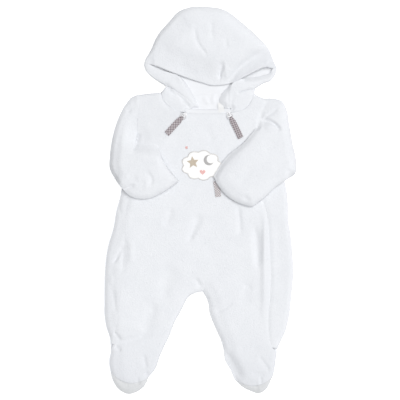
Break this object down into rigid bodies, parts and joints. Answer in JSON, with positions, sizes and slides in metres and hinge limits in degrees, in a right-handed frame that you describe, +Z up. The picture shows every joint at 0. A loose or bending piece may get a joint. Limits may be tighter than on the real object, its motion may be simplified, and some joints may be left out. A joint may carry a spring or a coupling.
{
  "type": "baby romper",
  "caption": "White plush hooded and footed baby romper laid flat, two long zips with ribbon pulls, sleeves folded over the chest",
  "frame": {"origin": "centre of the garment's box on the surface it lies on", "axes": "+X to the right of someone looking down at the front (the wearer's left), +Y towards the hood, +Z up from the surface"},
  "size_m": [0.337, 0.679, 0.0308],
  "materials": {
    "plush": "short soft pile over wadding, matt with a faint sheen",
    "jersey": "smooth fine-knit lining",
    "zip_tape": "woven zip tape with closed coil",
    "slider": "white enamelled slider and ring",
    "ribbon": "grey-mauve ribbon with small pale checks",
    "satin": "white satin",
    "beige": "beige satin stitch",
    "grey": "grey satin stitch",
    "pink": "pink felt",
    "label": "blank woven label"
  },
  "bodies": {
    "root": {"front_panel": "plush", "front_side_right": "plush", "front_side_left": "plush", "back_panel": "plush", "sleeve_right": "plush", "sleeve_left": "plush", "sole_right": "plush", "sole_left": "plush", "hood_crown": "plush", "hood_back": "plush", "hood_side_right": "plush", "hood_side_left": "plush", "hood_lining": "jersey", "neck_binding": "jersey", "zip_right": "zip_tape", "zip_left": "zip_tape", "slider_right": "slider", "slider_left": "slider", "ribbon_tab": "ribbon", "neck_label": "label", "patch_base": "satin", "patch_star": "beige", "patch_moon": "grey", "patch_heart": "pink", "patch_dot": "pink"},
    "pull_right": {"pull_ring_right": "slider", "ribbon_right": "ribbon"},
    "pull_left": {"pull_ring_left": "slider", "ribbon_left": "ribbon"}
  },
  "joints": [
    {"name": "pull_right_swing", "type": "hinge", "parent": "root", "child": "pull_right", "pos_m": [-0.0275, 0.149, 0.0199], "axis": [-0.7193, 0.6947, 0], "range_deg": [0, 170]},
    {"name": "pull_left_swing", "type": "hinge", "parent": "root", "child": "pull_left", "pos_m": [0.0505, 0.1495, 0.0199], "axis": [-0.8829, -0.4695, 0], "range_deg": [0, 170]}
  ]
}
